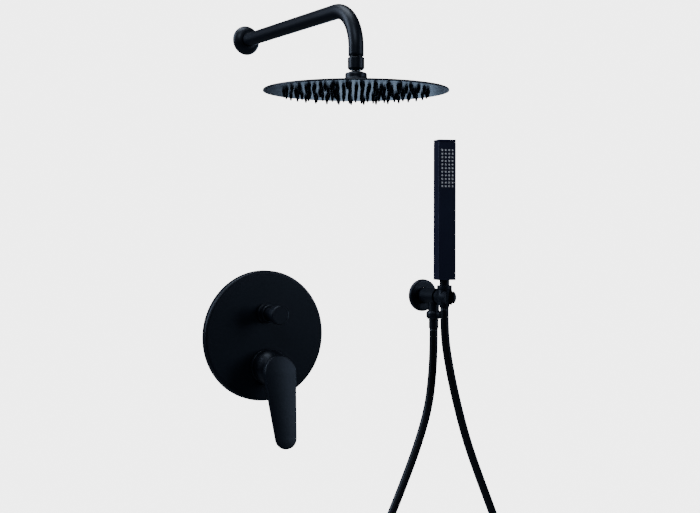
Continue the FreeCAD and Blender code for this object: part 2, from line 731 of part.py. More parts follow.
def make_diverter():
    insert = turned("diverter_insert", (0.0, 17.0, D.knob_z), "out", [
        (5.2, 0), (D.diverter_bore - 0.05, 0), (D.diverter_bore - 0.05, 25.5), (D.rod_radius + 0.05, 25.5),
        (D.rod_radius + 0.05, 14), (6.6, 14), (6.6, 2), (5.2, 2),
    ])
    cross = new_sketch(insert, "insert_ports", "XZ_Plane")
    circles(cross, [(0.0, 7.0)], 3.4)
    pocket(insert, "insert_ported", cross)

    rear = 27.4
    stroke_front = D.knob_front - 4
    rod = D.rod_radius
    turned("diverter_stem", (0.0, rear, D.knob_z), "out", [
        (0.0, 0), (D.plunger_radius - 2.2, 0), (D.plunger_radius - 2.2, 2.4), (rod, 2.4),
        (rod, rear + stroke_front), (0.0, rear + stroke_front),
    ])
    washer("diverter_plunger_seal", (0.0, rear, D.knob_z), "out",
           D.plunger_radius - 2.15, D.plunger_radius, 2.2)
    washer("diverter_rod_seal", (0.0, -8.6, D.knob_z), "out", rod + 0.05, 6.0, 1.8)

    reach = 5.0
    face = D.plate_depth - reach
    turned("diverter_sleeve", on_wall(0.0, reach, D.knob_z), "out", [
        (D.diverter_bore + 1.5, 0), (D.knob_neck + 2.5, 0), (D.knob_neck + 2.5, face),
        (D.knob_ring_radius, face), (D.knob_ring_radius, face + 4.2), (D.knob_ring_radius - 0.8, face + 5),
        (D.knob_sleeve_radius, face + 5), (D.knob_sleeve_radius, face + 15),
        (D.knob_sleeve_radius - 0.8, face + 15.8), (D.knob_neck + 0.3, face + 15.8),
        (D.knob_neck + 0.3, 8), (D.diverter_bore + 1.5, 8),
    ])

    back = 18.0
    front = D.knob_front - back
    shoulder = 33.0
    knob = turned("diverter_knob", on_wall(0.0, back, D.knob_z), "out", [
        (0.0, front - 4), (rod + 0.05, front - 4), (rod + 0.05, 6), (8.5, 6), (8.5, 0),
        (D.knob_neck, 0), (D.knob_neck, shoulder), (D.knob_radius, shoulder + 1.5),
        (D.knob_radius, front - 1.2), (D.knob_radius - 1.2, front), (0.0, front),
    ])
    screw_hole = new_sketch(knob, "knob_screw_hole", "XZ_Plane", 0.0)
    circles(screw_hole, [(0.0, shoulder + 6)], 1.5)
    pocket(knob, "knob_tapped", screw_hole, 20.0, True)
    turned("knob_set_screw", (0.0, -back - shoulder - 6, D.knob_z - rod - 0.05), "down", [
        (0.0, 0), (0.9, 0), (1.45, 0.6), (1.45, 7), (0.8, 7), (0.8, 5), (0.0, 5),
    ])


# ---------------------------------------------------------------- outlet and holder


def make_outlet():
    wall = (D.outlet_x, 0.0, D.outlet_z)
    deep = D.outlet_flange_depth
    bore = D.elbow_radius + 0.3
    turned("outlet_flange", wall, "out", [
        (D.outlet_flange_radius - 2, 0), (D.outlet_flange_radius, 0),
        (D.outlet_flange_radius, deep - 2.5, 2.5), (D.outlet_flange_radius - 2.5, deep),
        (bore, deep), (bore, deep - 2.2), (D.outlet_flange_radius - 2, deep - 2.2),
    ])
    washer("outlet_flange_seal", on_wall(D.outlet_x, 1.5, D.outlet_z), "out",
           D.elbow_radius + 0.05, D.elbow_radius + 2.5, 2.5)

    shank = D.wall_thread_length
    spigot = on_wall(D.outlet_x, D.spigot_out, D.outlet_z)
    drop = D.outlet_z - 20.5
    solids = [
        cylinder("elbow_thread", D.wall_thread_radius, shank, wall, "into"),
        cylinder("elbow_barrel", D.elbow_radius, D.elbow_front, wall, "out"),
        cylinder("elbow_waist", 10.2, 5.0, on_wall(D.outlet_x, D.elbow_front, D.outlet_z), "out"),
        cylinder("elbow_spigot", D.spigot_neck, D.outlet_z - 28.0, spigot, "down"),
        cylinder("elbow_hose_thread", D.wall_thread_radius, 8.3,
                 on_wall(D.outlet_x, D.spigot_out, 28.8), "down"),
    ]
    bores = [
        cylinder("elbow_way", 6.0, shank + D.spigot_out + 6.0,
                 (D.outlet_x, D.wall_thread_length, D.outlet_z), "out"),
        cylinder("elbow_drop", 7.6, drop - 9.0, on_wall(D.outlet_x, D.spigot_out, D.outlet_z - 9), "down"),
        cylinder("elbow_drop_top", 5.0, 10.0, spigot, "down"),
        cylinder("elbow_screw_hole", 2.5, 12.0,
                 on_wall(D.outlet_x, D.elbow_front - 5.5, D.outlet_z), "out"),
    ]
    carved("outlet_elbow", joined("elbow_casting", solids), bores)

    valve_top = 40.0
    turned("check_valve_housing", on_wall(D.outlet_x, D.spigot_out, valve_top), "down", [
        (4.0, 0), (7.5, 0), (7.5, 15), (3.6, 15), (3.6, 13.5), (6.2, 13.5), (6.2, 1.5), (4.0, 1.5),
    ])
    turned("check_valve_poppet", on_wall(D.outlet_x, D.spigot_out, valve_top - 1.6), "down", [
        (0.0, 0), (5.2, 0), (5.2, 1.6), (1.6, 1.6), (1.6, 8.2), (0.0, 8.2),
    ])
    spring = new_body("check_valve_spring")
    coil = new_sketch(spring, "check_wire", "XZ_Plane")
    circles(coil, [(3.4, 0.45)], D.spring_wire)
    helix = spring.newObject("PartDesign::AdditiveHelix", "check_coil")
    helix.Profile = coil
    helix.ReferenceAxis = (coil, ["V_Axis"])
    helix.Mode = "height-turns-growth"
    helix.Height = 9.2
    helix.Turns = 5
    helix.Growth = 0.0
    place(spring, on_wall(D.outlet_x, D.spigot_out, valve_top - 13.4), "up")


def make_holder():
    start = D.elbow_front + 5.0
    socket = on_wall(D.outlet_x, D.holder_out, D.outlet_z)
    length = D.holder_front - start
    solids = [
        cylinder("holder_barrel", D.holder_radius, length, on_wall(D.outlet_x, start, D.outlet_z), "out"),
        cylinder("holder_socket", D.holder_radius, D.holder_radius * 2,
                 on_wall(D.outlet_x, D.holder_out, D.outlet_z - D.holder_radius), "up"),
    ]
    cone = doc.addObject("Part::Cone", "holder_cone")
    bind(cone, "Radius1", D.cone_bottom + 0.1)
    bind(cone, "Radius2", D.cone_top + 0.44)
    bind(cone, "Height", 34.0)
    place(cone, on_wall(D.outlet_x, D.holder_out, D.outlet_z - 19.0))
    slot = block("holder_slot", D.slot_width, 40.0, 60.0,
                 (D.outlet_x - D.slot_width / 2, -D.holder_out - 40, D.outlet_z - 30))
    screw = cylinder("holder_screw_bore", 2.7, 6.0, on_wall(D.outlet_x, start - 1, D.outlet_z), "out")
    sink = cylinder("holder_screw_sink", 4.6, 4.0, on_wall(D.outlet_x, start + 1.6, D.outlet_z), "out")
    carved("handset_holder", joined("holder_casting", solids), [cone, slot, screw, sink])
    turned("holder_screw", on_wall(D.outlet_x, D.elbow_front - 5, D.outlet_z), "out", [
        (0.0, 0), (2.4, 0), (2.4, 11.65), (4.2, 11.65), (4.2, 12.8), (1.5, 12.8), (1.5, 12.0), (0.0, 12.0),
    ])


# ---------------------------------------------------------------- hose and its ends


def make_hose_ends():
    top = on_wall(D.outlet_x, D.spigot_out, 20.45)
    washer("hose_washer", top, "down", 5.5, 10.3, 1.7)
    tail = D.tail_radius
    turned("outlet_tail", on_wall(D.outlet_x, D.spigot_out, 18.7), "down", [
        (3.5, 0), (9.9, 0), (9.9, 1.4), (tail, 1.4), (tail, 18), (3.5, 18),
    ])
    turned("union_nut", on_wall(D.outlet_x, D.spigot_out, 28.8), "down", [
        (D.wall_thread_radius + 0.05, 0), (D.union_radius - 1.6, 0), (D.union_radius, 2.6),
        (D.union_radius, 9.4), (D.union_radius - 2.2, 12.8), (7.0, 12.8), (7.0, 11.6),
        (D.wall_thread_radius + 0.05, 11.6),
    ])
    turned("outlet_ferrule", on_wall(D.outlet_x, D.spigot_out, 16.0), "down", [
        (tail + 0.05, 0), (D.ferrule_radius - 0.8, 0), (D.ferrule_radius, 0.8), (D.ferrule_radius, 15.2),
        (D.ferrule_radius - 0.6, 16), (tail + 0.05, 16),
    ])
    turned("cone_tail", on_wall(D.outlet_x, D.holder_out, 64.5), "down", [
        (3.5, 0), (8.2, 0), (8.2, 1.7), (tail, 1.7), (tail, 28.5), (3.5, 28.5),
    ])
    turned("cone_ferrule", on_wall(D.outlet_x, D.holder_out, 52.0), "down", [
        (tail + 0.05, 0), (6.6, 0), (6.6, 16), (tail + 0.05, 16),
    ])
    turned("cone_nut", on_wall(D.outlet_x, D.holder_out, 72.7), "down", [
        (D.wall_thread_radius + 0.05, 0), (D.cone_head - 0.8, 0), (D.cone_head, 0.8),
        (D.cone_head, 6.0), (D.cone_head - 0.4, 6.4), (D.cone_top, 6.4), (D.cone_bottom, 36.2),
        (6.7, 36.2), (6.7, 20), (tail + 0.1, 20), (tail + 0.1, 10), (8.4, 10), (8.4, 5.6),
        (D.wall_thread_radius + 0.05, 5.6),
    ])
    washer("handset_washer", on_wall(D.outlet_x, D.holder_out, 67.1), "down", 5.5, 8.3, 2.5)


# The hose hangs as one long loop from the outlet's ferrule to the cone nut.
HOSE_ROUTE = [
    (298.0, -35.0, 0.0),
    (298.0, -35.0, -32.0),
    (295.6, -35.2, -74.0),
    (288.5, -35.8, -126.0),
    (270.0, -36.8, -180.0),
    (244.0, -38.0, -237.0),
    (214.0, -39.2, -296.0),
    (181.0, -40.4, -360.0),
    (161.0, -41.6, -430.0),
    (168.0, -43.0, -500.0),
    (205.0, -44.8, -560.0),
    (265.0, -46.8, -592.0),
    (335.0, -49.0, -592.0),
    (397.0, -51.4, -562.0),
    (436.0, -53.8, -504.0),
    (444.0, -56.2, -434.0),
    (424.0, -58.6, -364.0),
    (397.0, -60.6, -304.0),
    (370.0, -62.2, -245.0),
    (344.0, -63.6, -184.0),
    (321.0, -64.8, -112.0),
    (305.5, -65.6, -50.0),
    (298.0, -66.0, -4.0),
    (298.0, -66.0, 36.0),
]
RUN_SHARE = 0.45


def make_hose():
    """The cord's tube: straight runs joined by tangent arcs as large as their runs allow."""
    points = [Vector(*point) for point in HOSE_ROUTE]
    radius = sheet.hose_radius
    edges = []
    radii = []
    here = points[0]
    for before, corner, after in zip(points, points[1:], points[2:]):
        inward = (before - corner).normalize()
        onward = (after - corner).normalize()
        turn = math.pi - inward.getAngle(onward)
        cut = RUN_SHARE * min((before - corner).Length, (after - corner).Length)
        radii.append(cut / math.tan(turn / 2))
        start = corner + inward * cut
        end = corner + onward * cut
        bisector = (inward + onward).normalize()
        to_centre = math.hypot(radii[-1], cut)
        middle = corner + bisector * (to_centre - radii[-1])
        edges.append(Part.LineSegment(here, start).toShape())
        edges.append(Part.Arc(start, middle, end).toShape())
        here = end
    edges.append(Part.LineSegment(here, points[-1]).toShape())
    path = Part.Wire(edges)
    ring = Part.Wire(Part.Circle(points[0], points[1] - points[0], radius).toShape())
    tube = path.makePipeShell([ring], True, False)
    item = doc.addObject("Part::Feature", "shower_hose")
    item.Label = "shower_hose"
    item.Shape = tube
    item.Placement = Placement()
    nodes.append(item)
    expected = math.pi * radius ** 2 * path.Length
    print("hose length", round(path.Length, 1), "volume ratio", round(tube.Volume / expected, 4))
    print("hose radii", [round(value) for value in radii])


# ---------------------------------------------------------------- hand shower


def make_handset():
    yaw = Rotation(Vector(0, 0, 1), -DIMENSIONS["handset_yaw"])
    foot = on_wall(D.outlet_x, D.holder_out, D.handset_base)
    half_x, half_y = D.handset_width / 2, D.handset_depth / 2
    wall = D.handset_wall
    cap = 4.0

    shell = new_body("handset_shell")
    sketch = new_sketch(shell, "shell_outline")
    rectangle(sketch, -half_x, -half_y, half_x, half_y)
    pad(shell, "shell_pad", sketch, D.handset_length - cap)
    inside = new_sketch(shell, "shell_inside", lift=D.handset_length - cap)
    rectangle(inside, -half_x + wall, -half_y + wall, half_x - wall, half_y - wall)
    pocket(shell, "shell_hollow", inside, D.handset_length - cap - wall - 1)
    floor = new_sketch(shell, "shell_floor_hole")
    circles(floor, [(0.0, 0.0)], 8.1)
    pocket(shell, "shell_floor_cut", floor, wall + 2, True)

    jets = []
    for row in range(JET_ROWS):
        for column in range(JET_COLUMNS):
            across = D.jet_pitch_x * (column - (JET_COLUMNS - 1) / 2)
            jets.append((across, D.handset_length - D.jet_top - D.jet_pitch_z * row))
    holes = new_sketch(shell, "shell_jet_holes", "XZ_Plane", D.handset_depth / 2 + 1)
    for across, up in jets:
        square(holes, across, up, D.jet_side + 0.1)
    pocket(shell, "shell_jetted", holes, wall + 2)
    place(shell, foot, "up", yaw)

    top = new_body("handset_end_cap")
    sketch = new_sketch(top, "cap_outline")
    rectangle(sketch, -half_x, -half_y, half_x, half_y)
    pad(top, "cap_pad", sketch, cap)
    tongue = new_sketch(top, "cap_tongue")
    lip = wall + 0.1
    rectangle(tongue, -half_x + lip, -half_y + lip, half_x - lip, half_y - lip)
    pad(top, "cap_lip", tongue, 5.0).Reversed = True
    place(top, on_wall(D.outlet_x, D.holder_out, D.handset_base + D.handset_length - cap), "up", yaw)

    mat = new_body("handset_nozzle_mat")
    sketch = new_sketch(mat, "mat_back", "XZ_Plane", half_y - wall - 1.6)
    low = D.handset_length - D.jet_top - D.jet_pitch_z * (JET_ROWS - 1) - 5
    rectangle(sketch, -half_x + wall + 0.6, low, half_x - wall - 0.6, D.handset_length - D.jet_top + 5)
    pad(mat, "mat_back_pad", sketch, 1.5)
    nubs = new_sketch(mat, "mat_nubs", "XZ_Plane", half_y - wall - 0.1)
    for across, up in jets:
        square(nubs, across, up, D.jet_side)
    pad(mat, "mat_nub_pad", nubs, wall + 0.6)
    place(mat, foot, "up", yaw)

    channel = new_body("handset_water_channel")
    sketch = new_sketch(channel, "channel_outline", lift=18.0)
    rectangle(sketch, -9.0, -5.5, 9.0, 8.5)
    pad(channel, "channel_pad", sketch, D.handset_length - 28)
    bore = new_sketch(channel, "channel_bore", lift=18.0)
    rectangle(bore, -7.4, -3.9, 7.4, 6.9)
    pocket(channel, "channel_bored", bore, D.handset_length - 31, True)
    mouth = new_sketch(channel, "channel_mouth", "XZ_Plane", 8.0)
    rectangle(mouth, -6.0, low + 4, 6.0, D.handset_length - D.jet_top)
    pocket(channel, "channel_opened", mouth, 6.0)
    place(channel, foot, "up", yaw)

    turned("handset_connector", on_wall(D.outlet_x, D.holder_out, 67.2), "up", [
        (5.0, 0), (D.wall_thread_radius, 0), (D.wall_thread_radius, 5.4), (8.0, 5.8),
        (8.0, 17.6), (10.5, 17.6), (10.5, 20.6), (5.6, 32.1), (5.0, 32.1),
    ])


def square(sketch, across, up, side):
    """A square jet opening centred on a point."""
    x, y, half = size(across).value, size(up).value, size(side).value / 2
    corners = [Vector(x - half, y - half, 0), Vector(x + half, y - half, 0),
               Vector(x + half, y + half, 0), Vector(x - half, y + half, 0)]
    for start, end in zip(corners, corners[1:] + corners[:1]):
        sketch.addGeometry(Part.LineSegment(start, end), False)


# ---------------------------------------------------------------- build


make_arm()
make_ball_joint()
make_head()
make_cover_plate()
make_valve_body()
lever_pivot, lever_tilt = make_cartridge()
make_hub_sleeve()
make_lever(lever_pivot, lever_tilt)
make_lever_trim()
make_diverter()
make_outlet()
make_holder()
make_hose_ends()
make_hose()
make_handset()
doc.recompute()

faults = [item.Name for item in doc.Objects if {"Invalid", "Error"} & set(item.State)]
for node in nodes:
    if node.Shape.isNull() or not node.Shape.isValid() or node.Shape.Volume <= 0:
        faults.append(node.Label)
if faults:
    raise RuntimeError(f"failed: {faults}")

os.makedirs("parts", exist_ok=True)
for node in nodes:
    node.Shape.exportStep(f"parts/{node.Label}.step")
print(len(nodes), "nodes written")
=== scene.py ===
"""Looks for the matt black concealed shower set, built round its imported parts.

Lengths in the tables are millimetres in the part's own frame: +X right along the wall, -Y out into
the room, +Z up. Meshes are made in metres with every object at the origin.
"""

import json
import math

import bmesh
import bpy
import numpy as np
from mathutils import Matrix, Vector


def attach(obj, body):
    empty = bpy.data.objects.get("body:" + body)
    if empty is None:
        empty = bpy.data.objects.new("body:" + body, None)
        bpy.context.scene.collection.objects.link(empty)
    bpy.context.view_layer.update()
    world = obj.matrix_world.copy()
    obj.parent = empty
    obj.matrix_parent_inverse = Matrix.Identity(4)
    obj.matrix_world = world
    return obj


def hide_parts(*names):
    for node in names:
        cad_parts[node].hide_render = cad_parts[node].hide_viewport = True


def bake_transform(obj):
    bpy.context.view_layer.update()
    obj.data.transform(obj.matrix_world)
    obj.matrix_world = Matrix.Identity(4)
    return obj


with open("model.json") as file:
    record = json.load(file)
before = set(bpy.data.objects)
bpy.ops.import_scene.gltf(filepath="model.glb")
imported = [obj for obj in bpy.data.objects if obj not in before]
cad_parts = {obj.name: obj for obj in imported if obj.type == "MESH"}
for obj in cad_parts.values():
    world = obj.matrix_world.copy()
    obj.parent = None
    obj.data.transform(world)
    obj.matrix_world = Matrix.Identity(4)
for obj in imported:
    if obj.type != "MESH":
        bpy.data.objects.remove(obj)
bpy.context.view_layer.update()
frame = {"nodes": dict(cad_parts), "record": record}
MM = 0.001
scene = bpy.context.scene

# ---------------------------------------------------------------- camera

camera_data = bpy.data.cameras.new("studio_camera")
camera_data.sensor_width = 36.0
camera_data.lens = 59.88
camera_data.clip_end = 60.0
camera = bpy.data.objects.new("studio_camera", camera_data)
camera.location = (-0.79345, -1.62864, 0.16961)
camera.rotation_euler = (math.radians(88.5), 0.0, math.radians(-30.29))
scene.collection.objects.link(camera)
scene.camera = camera

# ---------------------------------------------------------------- mesh helpers

WAYS = {
    "up": ((1, 0, 0), (0, 1, 0), (0, 0, 1)),
    "down": ((1, 0, 0), (0, -1, 0), (0, 0, -1)),
    "out": ((1, 0, 0), (0, 0, 1), (0, -1, 0)),
}


def stand(points, base, way="up", tilt=0.0):
    """Local points carried to the room: base plus each coordinate along the named way's three
    axes, first tipped by tilt degrees about the wall's own +X."""
    axes = np.array(WAYS[way], float)
    turn = np.array(Matrix.Rotation(math.radians(tilt), 3, "X"))
    return np.array(base, float) + points @ axes @ turn.T


def grid_faces(rows, columns, ring=True, loop=False):
    """Quads between neighbours of a rows by columns grid. ring joins the last column to the
    first, loop joins the last row to the first."""
    row = np.arange(rows if loop else rows - 1)[:, None]
    column = np.arange(columns if ring else columns - 1)[None, :]
    next_row, next_column = (row + 1) % rows, (column + 1) % columns
    corners = [
        row * columns + column, row * columns + next_column,
        next_row * columns + next_column, next_row * columns + column,
    ]
    shape = (len(row), column.shape[1])
    return np.stack([np.broadcast_to(corner, shape) for corner in corners], -1).reshape(-1, 4)


def show(name, mesh, slot):
    """An object in the room for the mesh, in the finish of the slot alone."""
    mesh.name = name
    mesh.materials.clear()
    mesh.materials.append(FINISHES[slot])
    piece = bpy.data.objects.new(name, mesh)
    scene.collection.objects.link(piece)
    return piece


def even_shading(piece, weight):
    """Shading that follows the large faces, by the weight given to their area."""
    even = piece.modifiers.new("even_shading", "WEIGHTED_NORMAL")
    even.mode = "FACE_AREA"
    even.weight = weight


def stand_for(node):
    """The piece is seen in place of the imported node."""
    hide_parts(node)


def make_piece(name, parts, slot, body, node):
    """One object from (points, faces) parts in millimetres, welded, turned outwards, smooth."""
    offset = 0
    points, faces = [], []
    for part_points, part_faces in parts:
        points.append(part_points.reshape(-1, 3))
        faces.append(part_faces + offset)
        offset += len(points[-1])
    mesh = bpy.data.meshes.new(name)
    mesh.from_pydata((np.concatenate(points) * MM).tolist(), [], np.concatenate(faces).tolist())
    welded = bmesh.new()
    welded.from_mesh(mesh)
    bmesh.ops.remove_doubles(welded, verts=welded.verts, dist=2e-6)
    bmesh.ops.dissolve_degenerate(welded, edges=welded.edges, dist=1e-7)
    bmesh.ops.recalc_face_normals(welded, faces=welded.faces)
    welded.to_mesh(mesh)
    welded.free()
    mesh.polygons.foreach_set("use_smooth", np.ones(len(mesh.polygons), bool))
    piece = show(name, mesh, slot)
    even_shading(piece, 60)
    if body:
        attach(piece, body)
    stand_for(node)
    return piece


def soften(profile, radius, closed=True, steps=4):
    """Each corner gives way to a parabola that leaves its two edges at the given radius, or at
    nearly half the edge where that is shorter: (1-t)^2 start + 2t(1-t) corner + t^2 end."""
    corner = np.array([p[:2] for p in profile], float)
    reach = np.array([p[2] if len(p) > 2 else radius for p in profile], float)
    before, after = np.roll(corner, 1, 0), np.roll(corner, -1, 0)
    to_before, to_after = before - corner, after - corner
    length_before = np.linalg.norm(to_before, axis=1)
    length_after = np.linalg.norm(to_after, axis=1)
    cut_before = np.minimum(reach, 0.48 * length_before) / length_before
    cut_after = np.minimum(reach, 0.48 * length_after) / length_after
    start = corner + to_before * cut_before[:, None]
    end = corner + to_after * cut_after[:, None]
    t = np.linspace(0, 1, steps + 1)[None, :, None]
    curve = ((1 - t) ** 2 * start[:, None] + 2 * t * (1 - t) * corner[:, None]
             + t ** 2 * end[:, None])
    if not closed:
        curve[0], curve[-1] = corner[0], corner[-1]
    return curve.reshape(-1, 2)


def lathe(profile, base, way="up", tilt=0.0, radius=0.4, closed=True, segments=96):
    """A profile of (radius, height) pairs spun about its own axis: x = r cos a, y = r sin a."""
    section = soften(profile, radius, closed)
    angle = np.linspace(0, 2 * math.pi, segments, endpoint=False)[None, :]
    r, h = section[:, :1], section[:, 1:]
    local = np.stack([r * np.cos(angle), r * np.sin(angle), h + 0 * angle], -1)
    return stand(local, base, way, tilt), grid_faces(len(section), segments, True, closed)


def along(path, across, radius, segments=40, ends=True):
    """A round tube: each ring is centre + radius (cos a side + sin a lift), where lift is the
    fixed across direction made square to the path. Ends close on the centre."""
    path = np.array(path, float)
    tangent = np.gradient(path, axis=0)
    tangent /= np.linalg.norm(tangent, axis=1)[:, None]
    side = np.cross(tangent, np.array(across, float))
    side /= np.linalg.norm(side, axis=1)[:, None]
    lift = np.cross(side, tangent)
    radius = np.broadcast_to(np.array(radius, float), (len(path),))
    angle = np.linspace(0, 2 * math.pi, segments, endpoint=False)
    cosine, sine = np.cos(angle)[None, :, None], np.sin(angle)[None, :, None]
    ring = cosine * side[:, None] + sine * lift[:, None]
    points = path[:, None] + radius[:, None, None] * ring
    if ends:
        caps = [np.repeat(path[i][None, None], segments, 1) for i in (0, -1)]
        points = np.concatenate([caps[0], points, caps[1]])
    return points, grid_faces(len(points), segments)


# ---------------------------------------------------------------- finishes


def group(name, inputs, outputs):
    """An empty node group with the named sockets and its two end nodes."""
    tree = bpy.data.node_groups.new(name, "ShaderNodeTree")
    for label, value in inputs.items():
        kind = "NodeSocketVector" if value is None else "NodeSocketFloat"
        socket = tree.interface.new_socket(name=label, in_out="INPUT", socket_type=kind)
        if value is not None:
            socket.default_value = value
    for label in outputs:
        tree.interface.new_socket(name=label, in_out="OUTPUT", socket_type="NodeSocketFloat")
    return tree, tree.nodes.new("NodeGroupInput"), tree.nodes.new("NodeGroupOutput")


def math_node(tree, operation, first, second, third=None):
    node = tree.nodes.new("ShaderNodeMath")
    node.operation = operation
    for socket, value in zip(node.inputs, (first, second, third)):
        if hasattr(value, "default_value") or hasattr(value, "links"):
            tree.links.new(value, socket)
        elif value is not None:
            socket.default_value = value
    return node.outputs[0]


def noise(tree, vector, scale, detail=3.0, rough=0.55):
    node = tree.nodes.new("ShaderNodeTexNoise")
    tree.links.new(vector, node.inputs["Vector"])
    node.inputs["Detail"].default_value = detail
    node.inputs["Roughness"].default_value = rough
    if hasattr(scale, "links"):
        tree.links.new(scale, node.inputs["Scale"])
    else:
        node.inputs["Scale"].default_value = scale
    return node.outputs["Fac"]


def make_coat_group():
    """Powder coat: fine pebbling from two noises, and a slow drift of sheen over the surface.
    Height = mix of coarse and fine grain. Sheen = base + (slow noise - 0.5) drift + fine grain."""
    tree, start, end = group(
        "powder_coat",
        {"Vector": None, "Grain Scale": 900.0, "Drift Scale": 9.0, "Sheen": 0.42, "Drift": 0.12},
        ("Height", "Sheen", "Mottle"),
    )
    vector = start.outputs["Vector"]
    fine = noise(tree, vector, start.outputs["Grain Scale"], 4.0)
    coarse_scale = math_node(tree, "MULTIPLY", start.outputs["Grain Scale"], 0.3)
    coarse = noise(tree, vector, coarse_scale, 2.0)
    height = math_node(tree, "MULTIPLY_ADD", coarse, 0.6, math_node(tree, "MULTIPLY", fine, 0.4))
    slow = noise(tree, vector, start.outputs["Drift Scale"], 3.0, 0.6)
    centred = math_node(tree, "SUBTRACT", slow, 0.5)
    drift = math_node(tree, "MULTIPLY_ADD", centred, start.outputs["Drift"], start.outputs["Sheen"])
    speck = math_node(tree, "MULTIPLY_ADD", math_node(tree, "SUBTRACT", fine, 0.5), 0.10, drift)
    tree.links.new(height, end.inputs["Height"])
    tree.links.new(speck, end.inputs["Sheen"])
    tree.links.new(slow, end.inputs["Mottle"])
    return tree


COAT = make_coat_group()


def finish(name, colour, sheen=0.42, grain=900.0, depth=0.02, drift=0.12, metal=0.0, shift=0.35,
           stretch=(1, 1, 1), specular=0.5, tint=(1, 1, 1)):
    """A surface on the coat group: colour varies between two near shades with the slow mottle."""
    material = bpy.data.materials.new(name)
    material.use_nodes = True
    tree = material.node_tree
    shader = tree.nodes["Principled BSDF"]
    place = tree.nodes.new("ShaderNodeTexCoord").outputs["Object"]
    mapping = tree.nodes.new("ShaderNodeMapping")
    mapping.inputs["Scale"].default_value = stretch
    tree.links.new(place, mapping.inputs["Vector"])
    coating = tree.nodes.new("ShaderNodeGroup")
    coating.node_tree = COAT
    tree.links.new(mapping.outputs[0], coating.inputs["Vector"])
    coating.inputs["Grain Scale"].default_value = grain
    coating.inputs["Sheen"].default_value = sheen
    coating.inputs["Drift"].default_value = drift
    blend = tree.nodes.new("ShaderNodeMix")
    blend.data_type = "RGBA"
    tree.links.new(coating.outputs["Mottle"], blend.inputs[0])
    blend.inputs[6].default_value = (*[c * (1 - shift) for c in colour], 1)
    blend.inputs[7].default_value = (*[min(c * (1 + shift), 1) for c in colour], 1)
    tree.links.new(blend.outputs[2], shader.inputs["Base Color"])
    tree.links.new(coating.outputs["Sheen"], shader.inputs["Roughness"])
    bump = tree.nodes.new("ShaderNodeBump")
    bump.inputs["Strength"].default_value = 0.6
    bump.inputs["Distance"].default_value = depth * MM
    tree.links.new(coating.outputs["Height"], bump.inputs["Height"])
    tree.links.new(bump.outputs[0], shader.inputs["Normal"])
    shader.inputs["Metallic"].default_value = metal
    shader.inputs["Specular IOR Level"].default_value = specular
    shader.inputs["Specular Tint"].default_value = (*tint, 1)
    return material


COOL = (0.72, 0.82, 1.0)
FINISHES = {
    "black_metal": finish(
        "matt_black_powder_coat", (0.0046, 0.0066, 0.0120), 0.40, 1100, 0.010, 0.10, tint=COOL),
    "black_plastic": finish(
        "satin_black_plastic", (0.0165, 0.0190, 0.0480), 0.38, 1500, 0.004, 0.08, tint=COOL),
    "black_hose": finish(
        "smooth_black_hose", (0.0018, 0.0026, 0.0036), 0.38, 700, 0.02, 0.10, tint=COOL),
    "blue_face": finish(
        "satin_blue_grey_face", (0.022, 0.034, 0.058), 0.32, 1200, 0.008, 0.10, tint=COOL),
    "black_silicone": finish(
        "soft_black_silicone", (0.0050, 0.0070, 0.0120), 0.50, 2000, 0.006, 0.08,
        specular=0.3, tint=COOL),
    "pale_silicone": finish(
        "soft_pale_silicone", (0.88, 0.90, 0.93), 0.45, 1800, 0.003, 0.08, shift=0.04),
    "seal_rubber": finish(
        "seal_rubber", (0.016, 0.016, 0.017), 0.62, 1500, 0.02, 0.1),
    "brass": finish(
        "cast_and_turned_brass", (0.60, 0.42, 0.17), 0.34, 350, 0.05, 0.16, metal=1.0, shift=0.12),
    "steel": finish(
        "turned_steel", (0.52, 0.53, 0.55), 0.26, 420, 0.01, 0.10,
        metal=1.0, shift=0.08, stretch=(1, 1, 7)),
    "ptfe": finish(
        "white_ptfe", (0.84, 0.84, 0.81), 0.42, 500, 0.01, 0.08, shift=0.04),
    "ceramic": finish(
        "polished_ceramic", (0.80, 0.78, 0.72), 0.12, 600, 0.004, 0.05, shift=0.03),
    "cartridge_plastic": finish(
        "moulded_grey_plastic", (0.36, 0.38, 0.41), 0.48, 900, 0.02, 0.1, shift=0.06),
    "dark_steel": finish(
        "blue_black_steel", (0.006, 0.008, 0.012), 0.36, 700, 0.004, 0.08, specular=0.3, tint=COOL),
}

for entry in frame["record"]["subparts"]:
    node = frame["nodes"][entry["node"]]
    for material_slot in node.material_slots:
        material_slot.material = FINISHES[entry["material_slot"]]

# ---------------------------------------------------------------- hose

HOSE_ROUTE = [
    (298.0, -35.0, 0.0),
    (298.0, -35.0, -32.0),
    (295.6, -35.2, -74.0),
    (288.5, -35.8, -126.0),
    (270.0, -36.8, -180.0),
    (244.0, -38.0, -237.0),
    (214.0, -39.2, -296.0),
    (181.0, -40.4, -360.0),
    (161.0, -41.6, -430.0),
    (168.0, -43.0, -500.0),
    (205.0, -44.8, -560.0),
    (265.0, -46.8, -592.0),
    (335.0, -49.0, -592.0),
    (397.0, -51.4, -562.0),
    (436.0, -53.8, -504.0),
    (444.0, -56.2, -434.0),
    (424.0, -58.6, -364.0),
    (397.0, -60.6, -304.0),
    (370.0, -62.2, -245.0),
    (344.0, -63.6, -184.0),
    (321.0, -64.8, -112.0),
    (305.5, -65.6, -50.0),
    (298.0, -66.0, -4.0),
    (298.0, -66.0, 36.0),
]


